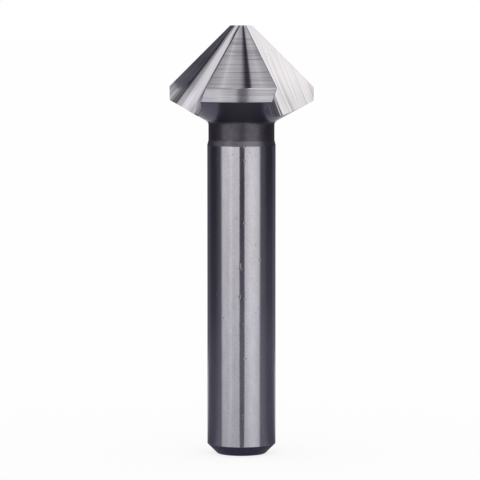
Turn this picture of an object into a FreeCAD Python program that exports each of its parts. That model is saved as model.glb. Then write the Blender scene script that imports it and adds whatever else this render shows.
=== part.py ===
"""Countersink bit: a 90-degree point with three teeth on a plain round shank.

The bit stands on the flat end of its shank, tip up. The origin is the centre of that end face and +Z
runs along the axis to the tip. The front tooth faces -Y. Sizes are in millimetres and degrees.
"""

import FreeCAD
import Part
import os
import Sketcher
from math import cos, radians, sin, tan

# The piece carries this name in the document and in its file.
NODE = "countersink_bit"

# Driving dimensions. Each one becomes a cell of the sheet under the same name.
SIZES = {
    # Lengths along the axis
    "overall_length": 62.5,
    "neck_taper": 0.75,
    "neck_length": 2.61,
    "margin_length": 2.07,
    # Diameters
    "shank_diameter": 10.0,
    "neck_diameter": 9.62,
    "head_diameter": 20.95,
    "tip_diameter": 3.3,
    # Included angles of the point and of the cone behind the head
    "point_angle": 90.0,
    "back_angle": 122.0,
    # Broken and rounded turned edges
    "end_chamfer": 1.45,
    "margin_break": 0.1,
    "neck_fillet": 0.7,
    # Teeth, and how each land is relieved behind its cutting edge: the axis of the land's cone lies
    # off the axis of the bit by the offset
    "teeth": 3,
    "relief_offset": 0.12,
    "relief_span_angle": 84.0,
    "relief_depth": 1.0,
    "relief_clearance": 0.5,
    # Flute: where it leaves the axis, seen from the tip, and the angle between its rake face and its
    # heel wall
    "flute_heading_angle": 78.7,
    "flute_opening_angle": 61.7,
    # Flute section in the plane of the tip: radius of its floor, and the place of that arc's centre
    # along and across the flute's direction
    "tip_floor_radius": 1.06,
    "tip_floor_along": 1.26,
    "tip_floor_across": 0.37,
    # The same at a depth below the tip where the flute has run out of the cone behind the head
    "low_section_depth": 15.0,
    "low_floor_radius": 5.62,
    "low_floor_along": 13.1,
    "low_floor_across": 0.04,
    # Outer corner of both sections, clear of the head
    "flute_reach": 16.0,
    "flute_width": 12.0,
}

# A sketch knows its own origin, and the two ends and the centre of an edge, by these numbers.
ORIGIN = -1
START = 1
END = 2
CENTRE = 3

# Two places closer than this are the same place.
TOUCH = 1e-6


def make_sheet(doc):
    """The sheet of driving dimensions: each name beside its value."""
    sheet = doc.addObject("Spreadsheet::Sheet", "Sizes")
    for row, (name, value) in enumerate(SIZES.items(), start=1):
        sheet.set(f"A{row}", name)
        sheet.set(f"B{row}", str(value))
        sheet.setAlias(f"B{row}", name)
    doc.recompute()


def new_sketch(body, name, role):
    """An empty sketch on one of the body's own base planes, found by its role."""
    sketch = body.newObject("Sketcher::SketchObject", name)
    plane = next(item for item in body.Origin.OriginFeatures if item.Role == role)
    sketch.AttachmentSupport = [(plane, "")]
    sketch.MapMode = "FlatFace"
    return sketch


def add_line(sketch, start, end):
    """A straight edge between two points of the sketch."""
    return sketch.addGeometry(Part.LineSegment(FreeCAD.Vector(*start, 0), FreeCAD.Vector(*end, 0)), False)


def join(sketch, first, second):
    """The end of one edge meets the start of the next."""
    sketch.addConstraint(Sketcher.Constraint("Coincident", first, END, second, START))


def bind(sketch, name, formula, *constraint):
    """A named dimension of the sketch, held to a formula on the sheet."""
    index = sketch.addConstraint(Sketcher.Constraint(*constraint))
    sketch.renameConstraint(index, name)
    sketch.setExpression(f"Constraints.{name}", formula)


def turned_blank(body):
    """The bit before its flutes: half of its outline turned round the axis."""
    shank = SIZES["shank_diameter"] / 2
    neck = SIZES["neck_diameter"] / 2
    head = SIZES["head_diameter"] / 2
    tip = SIZES["tip_diameter"] / 2
    top = SIZES["overall_length"]
    margin_high = top - (head - tip) / tan(radians(SIZES["point_angle"] / 2))
    margin_low = margin_high - SIZES["margin_length"]
    neck_high = margin_low - (head - neck) / tan(radians(SIZES["back_angle"] / 2))
    neck_low = neck_high - SIZES["neck_length"]
    shank_high = neck_low - SIZES["neck_taper"]
    outline = [
        (0, 0),
        (shank, 0),
        (shank, shank_high),
        (neck, neck_low),
        (neck, neck_high),
        (head, margin_low),
        (head, margin_high),
        (tip, top),
        (0, top),
    ]
    sketch = new_sketch(body, "turned_outline", "YZ_Plane")
    edges = [add_line(sketch, *pair) for pair in zip(outline, outline[1:] + outline[:1])]
    for first, second in zip(edges, edges[1:] + edges[:1]):
        join(sketch, first, second)
    end_face, shank_side, taper, neck_side, back_cone, margin, cone, tip_face, axis = edges
    for edge in (end_face, tip_face):
        sketch.addConstraint(Sketcher.Constraint("Horizontal", edge))
    for edge in (shank_side, neck_side, margin, axis):
        sketch.addConstraint(Sketcher.Constraint("Vertical", edge))
    sketch.addConstraint(Sketcher.Constraint("Coincident", end_face, START, ORIGIN, START))
    for name, edge, place in (
        ("shank", shank_side, shank),
        ("neck", neck_side, neck),
        ("head", margin, head),
        ("tip", tip_face, tip),
    ):
        bind(sketch, f"{name}_radius", f"Sizes.{name}_diameter / 2",
             "DistanceX", ORIGIN, START, edge, START, place)
    for name, edge in (("neck_taper", taper), ("neck_length", neck_side), ("margin_length", margin)):
        bind(sketch, name, f"Sizes.{name}", "DistanceY", edge, START, edge, END, SIZES[name])
    bind(sketch, "overall_length", "Sizes.overall_length",
         "DistanceY", ORIGIN, START, tip_face, END, top)
    bind(sketch, "back_slope", "90 - Sizes.back_angle / 2",
         "Angle", back_cone, radians(90 - SIZES["back_angle"] / 2))
    bind(sketch, "point_slope", "90 + Sizes.point_angle / 2",
         "Angle", cone, radians(90 + SIZES["point_angle"] / 2))
    blank = body.newObject("PartDesign::Revolution", "turned_blank")
    blank.Profile = sketch
    blank.ReferenceAxis = (sketch, ["V_Axis"])
    body.Document.recompute()
    return {"end": (shank, 0), "margin": (head, margin_low), "neck": (neck, neck_high)}


def dress_edge(body, kind, name, ring, size, formula):
    """A chamfer or fillet on the circular edge that has the given radius and height."""
    base = body.Tip
    radius, height = ring
    spot = FreeCAD.Vector(0, radius, height)
    place = next(
        index
        for index, edge in enumerate(base.Shape.Edges, start=1)
        if edge.distToShape(Part.Vertex(spot))[0] < TOUCH and abs(edge.CenterOfMass.z - height) < TOUCH
    )
    feature = body.newObject(f"PartDesign::{kind}", name)
    feature.Base = (base, [f"Edge{place}"])
    feature.setExpression(size, formula)
    body.Document.recompute()


def flute_section(body, name, level):
    """One section of the flute: rake face, rounded floor and heel wall, closed outside the head.

    The sketch's X axis is the flute's direction. The rake face runs parallel to it, the floor is an
    arc that leaves the rake face and meets the heel wall without a corner, and both walls run out to
    a box larger than the head.
    """
    radius = SIZES[f"{level}_floor_radius"]
    along = SIZES[f"{level}_floor_along"]
    across = SIZES[f"{level}_floor_across"]
    reach = SIZES["flute_reach"]
    width = SIZES["flute_width"]
    opening = radians(SIZES["flute_opening_angle"])
    rake = across - radius
    wall_start = (along - radius * sin(opening), across + radius * cos(opening))
    wall_end = (wall_start[0] + (width - wall_start[1]) / tan(opening), width)
    sketch = new_sketch(body, name, "XY_Plane")
    rake_face = add_line(sketch, (reach, rake), (along, rake))
    circle = Part.Circle(FreeCAD.Vector(along, across, 0), FreeCAD.Vector(0, 0, 1), radius)
    floor = sketch.addGeometry(Part.ArcOfCircle(circle, radians(90) + opening, radians(270)), False)
    heel_wall = add_line(sketch, wall_start, wall_end)
    far_side = add_line(sketch, wall_end, (reach, width))
    outer_side = add_line(sketch, (reach, width), (reach, rake))
    sketch.addConstraint(Sketcher.Constraint("Tangent", rake_face, END, floor, END))
    sketch.addConstraint(Sketcher.Constraint("Tangent", floor, START, heel_wall, START))
    for first, second in ((heel_wall, far_side), (far_side, outer_side), (outer_side, rake_face)):
        join(sketch, first, second)
    for edge in (rake_face, far_side):
        sketch.addConstraint(Sketcher.Constraint("Horizontal", edge))
    sketch.addConstraint(Sketcher.Constraint("Vertical", outer_side))
    bind(sketch, "opening", "Sizes.flute_opening_angle", "Angle", heel_wall, opening)
    bind(sketch, "floor_radius", f"Sizes.{level}_floor_radius", "Radius", floor, radius)
    bind(sketch, "floor_along", f"Sizes.{level}_floor_along",
         "DistanceX", ORIGIN, START, floor, CENTRE, along)
    bind(sketch, "floor_across", f"Sizes.{level}_floor_across",
         "DistanceY", ORIGIN, START, floor, CENTRE, across)
    bind(sketch, "reach", "Sizes.flute_reach", "DistanceX", ORIGIN, START, outer_side, START, reach)
    bind(sketch, "width", "Sizes.flute_width", "DistanceY", ORIGIN, START, outer_side, START, width)
    sketch.setExpression("AttachmentOffset.Rotation.Angle", "Sizes.flute_heading_angle")
    return sketch


def cut_flute(body):
    """The flute: a groove that opens out from the tip and leaves through the cone behind the head."""
    tip_section = flute_section(body, "flute_at_tip", "tip")
    tip_section.setExpression("AttachmentOffset.Base.z", "Sizes.overall_length")
    low_section = flute_section(body, "flute_run_out", "low")
    low_section.setExpression("AttachmentOffset.Base.z", "Sizes.overall_length - Sizes.low_section_depth")
    flute = body.newObject("PartDesign::SubtractiveLoft", "flute")
    flute.Profile = tip_section
    flute.Sections = [low_section]
    flute.Ruled = True
    body.Document.recompute()
    return flute


def relieve_land(body):
    """The relief of the front land: a cone about an axis beside the bit's own axis.

    The relieved cone has the point's angle and meets the blank's cone at the cutting edge, so the
    land falls away from there to its heel. What is cut is a layer outside that cone, turned through
    a sector that ends in the flutes on both sides of the land.
    """
    clear = SIZES["relief_clearance"]
    depth = SIZES["relief_depth"]
    sunk = SIZES["relief_offset"] / 2
    top = SIZES["overall_length"]
    slope = tan(radians(SIZES["point_angle"] / 2))
    inner = SIZES["tip_diameter"] / 2 - sunk - clear
    outer = SIZES["head_diameter"] / 2 + clear
    high = top + clear / slope
    low = high - (outer - inner) / slope
    layer = [(-outer, low), (-inner, high), (-inner - depth, high), (-outer - depth, low)]
    sketch = new_sketch(body, "relief_layer", "YZ_Plane")
    edges = [add_line(sketch, *pair) for pair in zip(layer, layer[1:] + layer[:1])]
    for first, second in zip(edges, edges[1:] + edges[:1]):
        join(sketch, first, second)
    relieved_cone, high_side, outer_cone, low_side = edges
    for edge in (high_side, low_side):
        sketch.addConstraint(Sketcher.Constraint("Horizontal", edge))
    sketch.addConstraint(Sketcher.Constraint("Parallel", relieved_cone, outer_cone))
    bind(sketch, "point_slope", "90 - Sizes.point_angle / 2",
         "Angle", relieved_cone, radians(90 - SIZES["point_angle"] / 2))
    bind(sketch, "inner_radius",
         "Sizes.tip_diameter / 2 - Sizes.relief_offset / 2 - Sizes.relief_clearance",
         "DistanceX", high_side, START, ORIGIN, START, inner)
    bind(sketch, "outer_radius", "Sizes.head_diameter / 2 + Sizes.relief_clearance",
         "DistanceX", relieved_cone, START, ORIGIN, START, outer)
    bind(sketch, "depth", "Sizes.relief_depth", "DistanceX", high_side, END, high_side, START, depth)
    bind(sketch, "high_end",
         "Sizes.overall_length + Sizes.relief_clearance / tan(Sizes.point_angle / 2)",
         "DistanceY", ORIGIN, START, high_side, START, high)
    sketch.setExpression("AttachmentOffset.Base.z", "Sizes.relief_offset")
    relief = body.newObject("PartDesign::Groove", "land_relief")
    relief.Profile = sketch
    relief.ReferenceAxis = (sketch, ["V_Axis"])
    relief.Midplane = True
    relief.setExpression("Angle", "Sizes.relief_span_angle")
    body.Document.recompute()
    return relief


def repeat_round_axis(body, features):
    """The same flute and relief for every tooth, spaced evenly round the axis."""
    pattern = body.newObject("PartDesign::PolarPattern", "teeth")
    pattern.Originals = features
    pattern.Axis = (next(item for item in body.Origin.OriginFeatures if item.Role == "Z_Axis"), [""])
    pattern.Angle = 360
    pattern.setExpression("Occurrences", "Sizes.teeth")
    body.Tip = pattern
    body.Document.recompute()


def cut(body, make):
    """Runs a feature that removes material and makes sure that it did."""
    before = body.Tip.Shape.Volume
    result = make(body)
    if not body.Tip.Shape.Volume < before:
        raise RuntimeError(f"{body.Tip.Label} removed nothing")
    return result


def check(doc, body):
    """Stops when any object failed, or when the piece is not one valid solid."""
    failed = [item.Label for item in doc.Objects if {"Invalid", "Error"} & set(item.State)]
    if failed:
        raise RuntimeError(f"failed: {failed}")
    shape = body.Shape
    if shape.isNull() or not shape.isValid() or len(shape.Solids) != 1:
        raise RuntimeError(f"{body.Label} is not one valid solid")


doc = FreeCAD.newDocument("countersink")
make_sheet(doc)
bit = doc.addObject("PartDesign::Body", NODE)
bit.Label = NODE
rings = turned_blank(bit)
dress_edge(bit, "Chamfer", "end_chamfer", rings["end"], "Size", "Sizes.end_chamfer")
dress_edge(bit, "Chamfer", "margin_break", rings["margin"], "Size", "Sizes.margin_break")
dress_edge(bit, "Fillet", "neck_fillet", rings["neck"], "Radius", "Sizes.neck_fillet")
flute = cut(bit, cut_flute)
relief = cut(bit, relieve_land)
cut(bit, lambda body: repeat_round_axis(body, [flute, relief]))
doc.recompute()
check(doc, bit)
os.makedirs("parts", exist_ok=True)
bit.Shape.exportStep(f"parts/{NODE}.step")
box = bit.Shape.optimalBoundingBox()
print(f"{NODE}: {box.XLength:.2f} x {box.YLength:.2f} x {box.ZLength:.2f} mm, {bit.Shape.Volume:.1f} mm3")
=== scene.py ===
# %% [markdown]
# # A countersink bit in polished and ground steel
#
# The bit stands on the end of its shank, point up. It is one piece of steel, so what it shows is
# how its faces were finished: a satin ground shank, a darker turned neck, teeth with fine grinding
# rings, and flutes with grinding lines that run down them.
#
# Steel looks light or dark by what it mirrors. So this lesson has three parts of equal weight: the
# exact shape, the finish of each face, and the tent of light panels and dark cloth that stands
# round the bit.

import bmesh
import bpy
import numpy as np
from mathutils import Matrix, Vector
from math import cos, degrees, pi, radians, sin, tan


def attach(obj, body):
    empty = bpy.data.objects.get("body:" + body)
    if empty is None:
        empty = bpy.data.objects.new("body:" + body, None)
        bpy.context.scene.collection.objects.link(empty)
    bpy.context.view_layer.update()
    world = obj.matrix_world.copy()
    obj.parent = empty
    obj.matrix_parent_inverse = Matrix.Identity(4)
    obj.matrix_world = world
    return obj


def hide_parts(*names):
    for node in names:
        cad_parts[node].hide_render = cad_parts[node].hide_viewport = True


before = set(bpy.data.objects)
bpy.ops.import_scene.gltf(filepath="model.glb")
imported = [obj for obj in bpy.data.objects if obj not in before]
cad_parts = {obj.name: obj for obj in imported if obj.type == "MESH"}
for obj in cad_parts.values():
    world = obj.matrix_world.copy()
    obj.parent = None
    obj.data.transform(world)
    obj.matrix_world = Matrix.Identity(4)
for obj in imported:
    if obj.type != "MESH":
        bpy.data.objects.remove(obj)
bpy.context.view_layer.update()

# %% [markdown]
# ## Sizes
#
# The sizes are the ones the bit was constructed with, in millimetres and degrees. A mesh in metres
# is made from them at the very end, with one factor. The cone of the point has a half angle of 45
# degrees, so it falls as fast as it widens.

# %% Sizes of the bit
MM = 0.001

TOP = 62.5
HEAD = 20.95 / 2
TIP = 3.3 / 2
NECK = 9.62 / 2
SHANK = 10.0 / 2
POINT_HALF = radians(45.0)
BACK_HALF = radians(122.0 / 2)
MARGIN = 2.07
MARGIN_BREAK = 0.1
NECK_LENGTH = 2.61
NECK_TAPER = 0.75
NECK_FILLET = 0.7
END_CHAMFER = 1.45
CHAMFER_TURN = radians(45.0)
TEETH = 3
THIRD = radians(360.0 / TEETH)

MARGIN_HIGH = TOP - (HEAD - TIP)
MARGIN_LOW = MARGIN_HIGH - MARGIN
BACK_SLOPE = tan(BACK_HALF)
NECK_HIGH = MARGIN_LOW - (HEAD - NECK) / BACK_SLOPE
NECK_LOW = NECK_HIGH - NECK_LENGTH
SHANK_HIGH = NECK_LOW - NECK_TAPER
print(f"margin from {MARGIN_LOW:.2f} to {MARGIN_HIGH:.2f}, shank up to {SHANK_HIGH:.2f} mm")

# %% [markdown]
# ## The flute
#
# Three flutes make the teeth. Cut level, each flute has the same kind of outline at every depth: a
# straight rake face, a round floor and a straight heel wall. Its sizes grow evenly with depth, so
# the flute is a surface of two parameters: how deep below the tip, and how far along that outline.
#
# A Boolean that cuts a lofted tool out of the cone would give the same form, but as loose triangles.
# On a grid, the flute has rows and columns that its grinding lines can follow.

# %% Flute outline at any depth
HEADING = radians(78.7)
OPENING = radians(61.7)
FLOOR_START = radians(90) + OPENING
FLOOR_END = radians(270)
LOW_DEPTH = 15.0

# Radius of the floor, and its centre along and across the flute: at the tip, and at LOW_DEPTH.
TIP_SECTION = (1.06, 1.26, 0.37)
LOW_SECTION = (5.62, 13.1, 0.04)


def flute_sizes(z):
    """Floor radius, and its centre along and across the flute: each changes evenly with depth."""
    share = (TOP - z) / LOW_DEPTH
    return [tip + (low - tip) * share for tip, low in zip(TIP_SECTION, LOW_SECTION)]


def flute_point(w, z):
    """The point w millimetres along the outline at height z, in the flute's own directions.

    From w = 0 the floor's arc runs at its radius to its far end. Below 0 the heel wall goes straight
    back from the arc's start, and past the arc the rake face goes straight on from its end.
    """
    radius, along, across = flute_sizes(z)
    length = radius * (FLOOR_END - FLOOR_START)
    turn = FLOOR_START + np.clip(w, 0, length) / radius
    heel = np.minimum(w, 0)
    rake = np.maximum(w - length, 0)
    x = along + radius * np.cos(turn) - heel * cos(OPENING) + rake
    y = across + radius * np.sin(turn) - heel * sin(OPENING)
    return x, y


def nearest_to_axis(z):
    """Where along the outline it comes nearest to the axis: the arc's point that faces the axis."""
    radius, along, across = flute_sizes(z)
    return radius * (pi + np.arctan2(across, along) - FLOOR_START)


core = np.hypot(*flute_point(nearest_to_axis(TOP), TOP))
print(f"the flutes leave a core of {2 * core:.2f} mm at the tip")

# %% [markdown]
# ## The turned outline
#
# Everything outside the flutes is turned: its radius depends on the height alone. Only the cone of
# each tooth is ground again, so that it drops a little from the cutting edge to the heel. That drop
# is the relief that lets the edge cut.
#
# The outline is kept as a table of stations. A station holds a height and a radius, and how much
# each of them falls for every millimetre of drop, so rows of the mesh follow the dropping corner.
# The two corners of the margin are rounded a little. A corner as sharp as a knife would catch no
# light, and on the real bit these two show as thin bright lines.

# %% Table of stations
RELIEF = 0.12
CORNER_RADIUS = 0.2
CORNER_SETBACK = CORNER_RADIUS * tan(POINT_HALF / 2)
BREAK_RADIUS = MARGIN_BREAK / tan(BACK_HALF / 2)
CONE_ROWS, CORNER_ROWS, MARGIN_ROWS, BREAK_ROWS, MOUTH_ROWS = 56, 6, 12, 8, 40
GROUND_BREAK_ROWS = 2


def land_drop(azimuth):
    """How far the front tooth's cone has dropped at an azimuth; it is ground about an offset axis."""
    return np.maximum(RELIEF / 2 - RELIEF * np.cos(azimuth), 0)


def eased(count):
    """Shares from 0 to 1 that lie closer together near both ends, so that corners stay crisp."""
    return (1 - np.cos(np.linspace(0, pi, count + 1))) / 2


def back_radius(z):
    """Radius of the cone behind the head at a height: it falls evenly below the margin."""
    return HEAD - (MARGIN_LOW - z) * BACK_SLOPE


def station_rows(height, height_fall, radius, radius_fall):
    """Rows of the table from four arrays or numbers: z, its fall, r, its fall."""
    return np.stack(np.broadcast_arrays(height, height_fall, radius, radius_fall), axis=1).astype(float)


def head_stations(mouth_low):
    """From the tip down to the lowest point of the flutes' mouths.

    A straight stretch goes evenly from one end to the other, and a rounded corner is an arc: its
    radius times the sine of the turn in height, and times one less the cosine across. The last rows
    crowd together towards the mouths' ends, where the lands close up.
    """
    share = eased(CONE_ROWS)
    cone_length = HEAD - TIP - CORNER_SETBACK * cos(POINT_HALF)
    cone = station_rows(TOP - share * cone_length, share, TIP + share * cone_length, 1 - share)
    turn = POINT_HALF * (1 - np.linspace(0, 1, CORNER_ROWS + 1)[1:])
    corner = station_rows(
        MARGIN_HIGH - CORNER_SETBACK + CORNER_RADIUS * np.sin(turn), 1,
        HEAD - CORNER_RADIUS * (1 - np.cos(turn)), 0)
    share = eased(MARGIN_ROWS)[1:]
    start, end = MARGIN_HIGH - CORNER_SETBACK, MARGIN_LOW + MARGIN_BREAK
    margin = station_rows(start + share * (end - start), 1 - share, HEAD, 0)
    turn = np.linspace(0, BACK_HALF, BREAK_ROWS + 1)[1:]
    broken = station_rows(
        end - BREAK_RADIUS * np.sin(turn), 0, HEAD - BREAK_RADIUS * (1 - np.cos(turn)), 0)
    share = np.linspace(1, 0, MOUTH_ROWS + 1)[1:] ** 2
    height = mouth_low + share * (broken[-1, 0] - mouth_low)
    back = station_rows(height, 0, back_radius(height), 0)
    return np.concatenate([cone, corner, margin, broken, back])


print(f"a land drops by up to {land_drop(-THIRD):.2f} mm from its cutting edge to its heel")

# %% [markdown]
# The flutes leave the steel through the cone behind the head. The lowest point of each mouth is
# where the outline's nearest point to the axis lies exactly on that cone. It is found by halving an
# interval again and again, and so are the two edges where a flute meets the turned surface: on each
# side of the nearest point, the distance from the axis only grows.

# %% Solve for the edges of one flute
FLUTE_TURN = HEADING + 2 * THIRD
HALVINGS, DROP_ROUNDS = 50, 12
WIDEST_SEARCH = 20.0


def halve(low, high, is_low):
    """Halves the interval from low to high until it is a point; is_low picks the half to keep."""
    for _ in range(HALVINGS):
        middle = (low + high) / 2
        keep = is_low(middle)
        low, high = np.where(keep, middle, low), np.where(keep, high, middle)
    return (low + high) / 2


def mouth_is_below(z):
    """True where the cone behind the head is narrower than the core that the flute leaves."""
    return np.hypot(*flute_point(nearest_to_axis(z), z)) > back_radius(z)


def flute_azimuth(w, z):
    """Azimuth of a point of the flute, for the flute to the right of the front tooth."""
    x, y = flute_point(w, z)
    return np.arctan2(y, x) + FLUTE_TURN


def edge(table, side, tooth_turn):
    """Where the flute meets each station: w, z and azimuth.

    side is +1 towards the cutting edge and -1 towards the heel. The drop of the station depends on
    the azimuth of the answer, so the search is repeated until both agree.
    """
    height, height_fall, radius, radius_fall = table.T
    nowhere = np.zeros(len(table))
    drop = nowhere
    for _ in range(DROP_ROUNDS):
        z, r = height - height_fall * drop, radius - radius_fall * drop
        near = nearest_to_axis(z)

        def inside(step):
            """True where the outline is still inside the turned surface, a step from its middle."""
            return np.hypot(*flute_point(near + side * step, z)) < r

        w = near + side * halve(nowhere, nowhere + WIDEST_SEARCH, inside)
        azimuth = flute_azimuth(w, z)
        drop = land_drop(azimuth - tooth_turn)
    return w, z, azimuth


mouth_low = float(halve(NECK_HIGH, MARGIN_LOW, mouth_is_below))
table = head_stations(mouth_low)
cutting_w, cutting_z, cutting_azimuth = edge(table, +1, 0.0)
heel_w, heel_z, heel_azimuth = edge(table, -1, THIRD)
land_span = degrees(cutting_azimuth[CONE_ROWS] - heel_azimuth[CONE_ROWS] + THIRD)
print(f"flutes run out {TOP - mouth_low:.2f} mm below the tip; a land is {land_span:.1f} degrees wide")

# %% [markdown]
# ## The skin
#
# The skin is made of grids that share their borders: three lands, three flutes and one turned body
# below them. A grid has one row for each station. A land's columns run from heel to cutting edge,
# and a flute's columns from cutting edge to heel, so that every face looks outwards. Where a mouth
# ends, the last row of the flute is a single point, and the three lands close to a full ring, on
# which the turned body goes on.
#
# A mirror shows every kink, so the flute has a column exactly on each border of its outline, where
# a flat wall turns into the round floor. A narrow strip along each edge gets the dark finish, like
# the thin dark lines that border the real lands.
#
# A flute also keeps, at each point, how its grinding lines lie: the first number is constant along
# a line, and the second runs along it, both in millimetres.

# %% Columns of lands and flutes
LAND_COLUMNS = 66
RAKE_COLUMNS, FLOOR_COLUMNS, WALL_COLUMNS = 20, 38, 19
FLUTE_COLUMNS = RAKE_COLUMNS + FLOOR_COLUMNS + WALL_COLUMNS + 1
FLOOR_ROUNDS = 30
# Strips in millimetres, and the most of a row that one may take.
CUTTING_STRIP, HEEL_STRIP, MOST_OF_A_ROW = 0.075, 0.03, 0.3
NO_WIDTH = 1e-9


def land_shares(width):
    """Even shares from 0 to 1 in each row, but the last column is a strip of its own width."""
    strip = np.minimum(CUTTING_STRIP / np.maximum(width, NO_WIDTH), MOST_OF_A_ROW)[:, None]
    even = np.linspace(0, 1, LAND_COLUMNS)[None, :] * (1 - strip)
    return np.concatenate([even, np.ones_like(strip)], axis=1)


def flute_shares():
    """Shares from 0 to 1 in each row, with a column on each border of the flute's outline.

    A row starts at the cutting edge. Its columns are spaced evenly over the rake wall, then over the
    round floor, then over the heel wall, and the last one is a strip along the heel. A row is not
    quite level, so the share at which the floor begins is found by repeating.
    """
    width = np.maximum(cutting_w - heel_w, NO_WIDTH)
    at_floor = np.zeros(len(width))
    for _ in range(FLOOR_ROUNDS):
        z = cutting_z + (heel_z - cutting_z) * at_floor
        floor_length = flute_sizes(z)[0] * (FLOOR_END - FLOOR_START)
        at_floor = np.clip((cutting_w - floor_length) / width, 0, 1)
    at_strip = 1 - np.minimum(HEEL_STRIP / width, MOST_OF_A_ROW)
    at_wall = np.clip(cutting_w / width, 0, at_strip)
    at_floor = np.minimum(at_floor, at_wall)
    stops = [0 * width, at_floor, at_wall, at_strip]
    counts = [RAKE_COLUMNS, FLOOR_COLUMNS, WALL_COLUMNS]
    pieces = [low[:, None] + (high - low)[:, None] * np.arange(count) / count
              for low, high, count in zip(stops, stops[1:], counts)]
    return np.concatenate(pieces + [at_strip[:, None], np.ones((len(width), 1))], axis=1)


print("columns of a land and of a flute:", LAND_COLUMNS, FLUTE_COLUMNS)

# %% Lands and flutes
# The way that the lines of the heel wall run, and how much they fan out with depth.
HEEL_LINE = (0.55, -0.2228, -1.0)
HEEL_LEAN = 0.077


def land_grid():
    """Points of the front land: radius times cosine and sine of the azimuth, and the height.

    The azimuth goes evenly from heel to cutting edge. Radius and height are the station's, each
    less its own fall times the drop of the land at that azimuth.
    """
    start = heel_azimuth - THIRD
    share = land_shares((cutting_azimuth - start) * table[:, 2])
    azimuth = start[:, None] + (cutting_azimuth - start)[:, None] * share
    height, height_fall, radius, radius_fall = (column[:, None] for column in table.T)
    drop = land_drop(azimuth)
    r = radius - radius_fall * drop
    z = height - height_fall * drop
    return np.stack([r * np.cos(azimuth), r * np.sin(azimuth), z], axis=2)


def flute_lay(w, z):
    """Place across the grinding lines, and depth below the tip, in millimetres.

    On the floor it is the angle along the arc times the arc's radius half way down, and the rake
    face goes on from there. On the heel wall it is measured square to the wall's own lines, plus a
    lean that grows with depth and fades in from the floor.
    """
    radius = flute_sizes(z)[0]
    length = radius * (FLOOR_END - FLOOR_START)
    middle_radius = flute_sizes(TOP - LOW_DEPTH / 2)[0]
    floor_and_rake = np.clip(w, 0, length) / radius * middle_radius + np.maximum(w - length, 0)
    wall = np.array([cos(FLUTE_TURN + OPENING), sin(FLUTE_TURN + OPENING), 0.0])
    line = np.array(HEEL_LINE) / np.linalg.norm(HEEL_LINE)
    across_line = wall - line * (wall @ line)
    across_line /= np.linalg.norm(across_line)
    lean = (z - TOP + LOW_DEPTH / 2) * HEEL_LEAN * (1 - np.exp(np.minimum(w, 0)))
    lay = np.where(w < 0, w * (wall @ across_line) + lean, floor_and_rake)
    return np.stack([lay, TOP - z], axis=2)


def flute_grid():
    """Points of the flute right of the front tooth, and their lay.

    In each row, the place along the outline and the height both go evenly from the cutting edge to
    the heel. The outline's point there is turned about the axis to the flute's heading.
    """
    share = flute_shares()
    w = cutting_w[:, None] + (heel_w - cutting_w)[:, None] * share
    z = cutting_z[:, None] + (heel_z - cutting_z)[:, None] * share
    along, across = flute_point(w, z)
    x = along * cos(FLUTE_TURN) - across * sin(FLUTE_TURN)
    y = along * sin(FLUTE_TURN) + across * cos(FLUTE_TURN)
    return np.stack([x, y, z], axis=2), flute_lay(w, z)


land = land_grid()
flute, lay = flute_grid()
print("rows and columns: land", land.shape[:2], "flute", flute.shape[:2])

# %% [markdown]
# Below the mouths all is round: the rest of the cone behind the head, a fillet into the neck, the
# short taper out to the shank, the shank, and the chamfer at its end. A small radius between shank
# and chamfer stands for the edge that a stone leaves.

# %% Turned body
BACK_ROWS, FILLET_ROWS, NECK_ROWS, TAPER_ROWS = 4, 10, 8, 6
SHANK_ROWS, FOOT_EDGE_ROWS, CHAMFER_ROWS = 44, 5, 6
GROUND_EDGE_ROWS = 2
FOOT_EDGE_RADIUS = 0.12
SHANK_GROUND, LAND_GROUND, FLUTE_GROUND, UNGROUND = range(4)


def run(start, end, count):
    """A straight run of count rows after its start, closer together near both ends."""
    start, end = np.array(start), np.array(end)
    return start + (end - start) * eased(count)[1:, None]


def turned_rows():
    """Heights and radii below the mouths, and the zone that each row belongs to.

    Runs are straight. The fillet and the edge at the foot are arcs: the sine of the turn in height,
    and one less its cosine in radius.
    """
    turn = np.linspace(BACK_HALF, 0, FILLET_ROWS + 1)
    fillet = np.stack([
        NECK_HIGH - NECK_FILLET * tan(BACK_HALF / 2) + NECK_FILLET * np.sin(turn),
        NECK + NECK_FILLET * (1 - np.cos(turn))], axis=1)
    turn = np.linspace(0, CHAMFER_TURN, FOOT_EDGE_ROWS + 1)
    foot_edge = np.stack([
        END_CHAMFER + FOOT_EDGE_RADIUS * tan(CHAMFER_TURN / 2) - FOOT_EDGE_RADIUS * np.sin(turn),
        SHANK - FOOT_EDGE_RADIUS * (1 - np.cos(turn))], axis=1)
    back = run((mouth_low, back_radius(mouth_low)), fillet[0], BACK_ROWS)
    neck = run(fillet[-1], (NECK_LOW, NECK), NECK_ROWS)
    taper = run((NECK_LOW, NECK), (SHANK_HIGH, SHANK), TAPER_ROWS)
    shank = run((SHANK_HIGH, SHANK), foot_edge[0], SHANK_ROWS)
    chamfer = run(foot_edge[-1], (0, SHANK - END_CHAMFER), CHAMFER_ROWS)
    above = np.concatenate([back, fillet[1:], neck, taper])
    rows = np.concatenate([above, shank, foot_edge[1:], chamfer])
    zone = np.full(len(rows), UNGROUND)
    zone[len(above):len(above) + len(shank) + GROUND_EDGE_ROWS] = SHANK_GROUND
    return rows, zone


rows, row_zone = turned_rows()
print(f"{len(table)} stations on the head and {len(rows)} rows below the mouths")

# %% [markdown]
# A grid of points becomes faces by its row and column numbers alone. Each zone is a finish: the
# cone and margin are ground, and so are the flutes and the shank, while the strips along the edges
# and everything else are left as turned.

# %% Gather the grids
def quads(row_count, column_count):
    """Four corners of each cell of a grid: down the first column, then across."""
    corner = (np.arange(row_count - 1)[:, None] * column_count + np.arange(column_count - 1)).ravel()
    return np.stack([corner, corner + column_count, corner + column_count + 1, corner + 1], axis=1)


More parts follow.
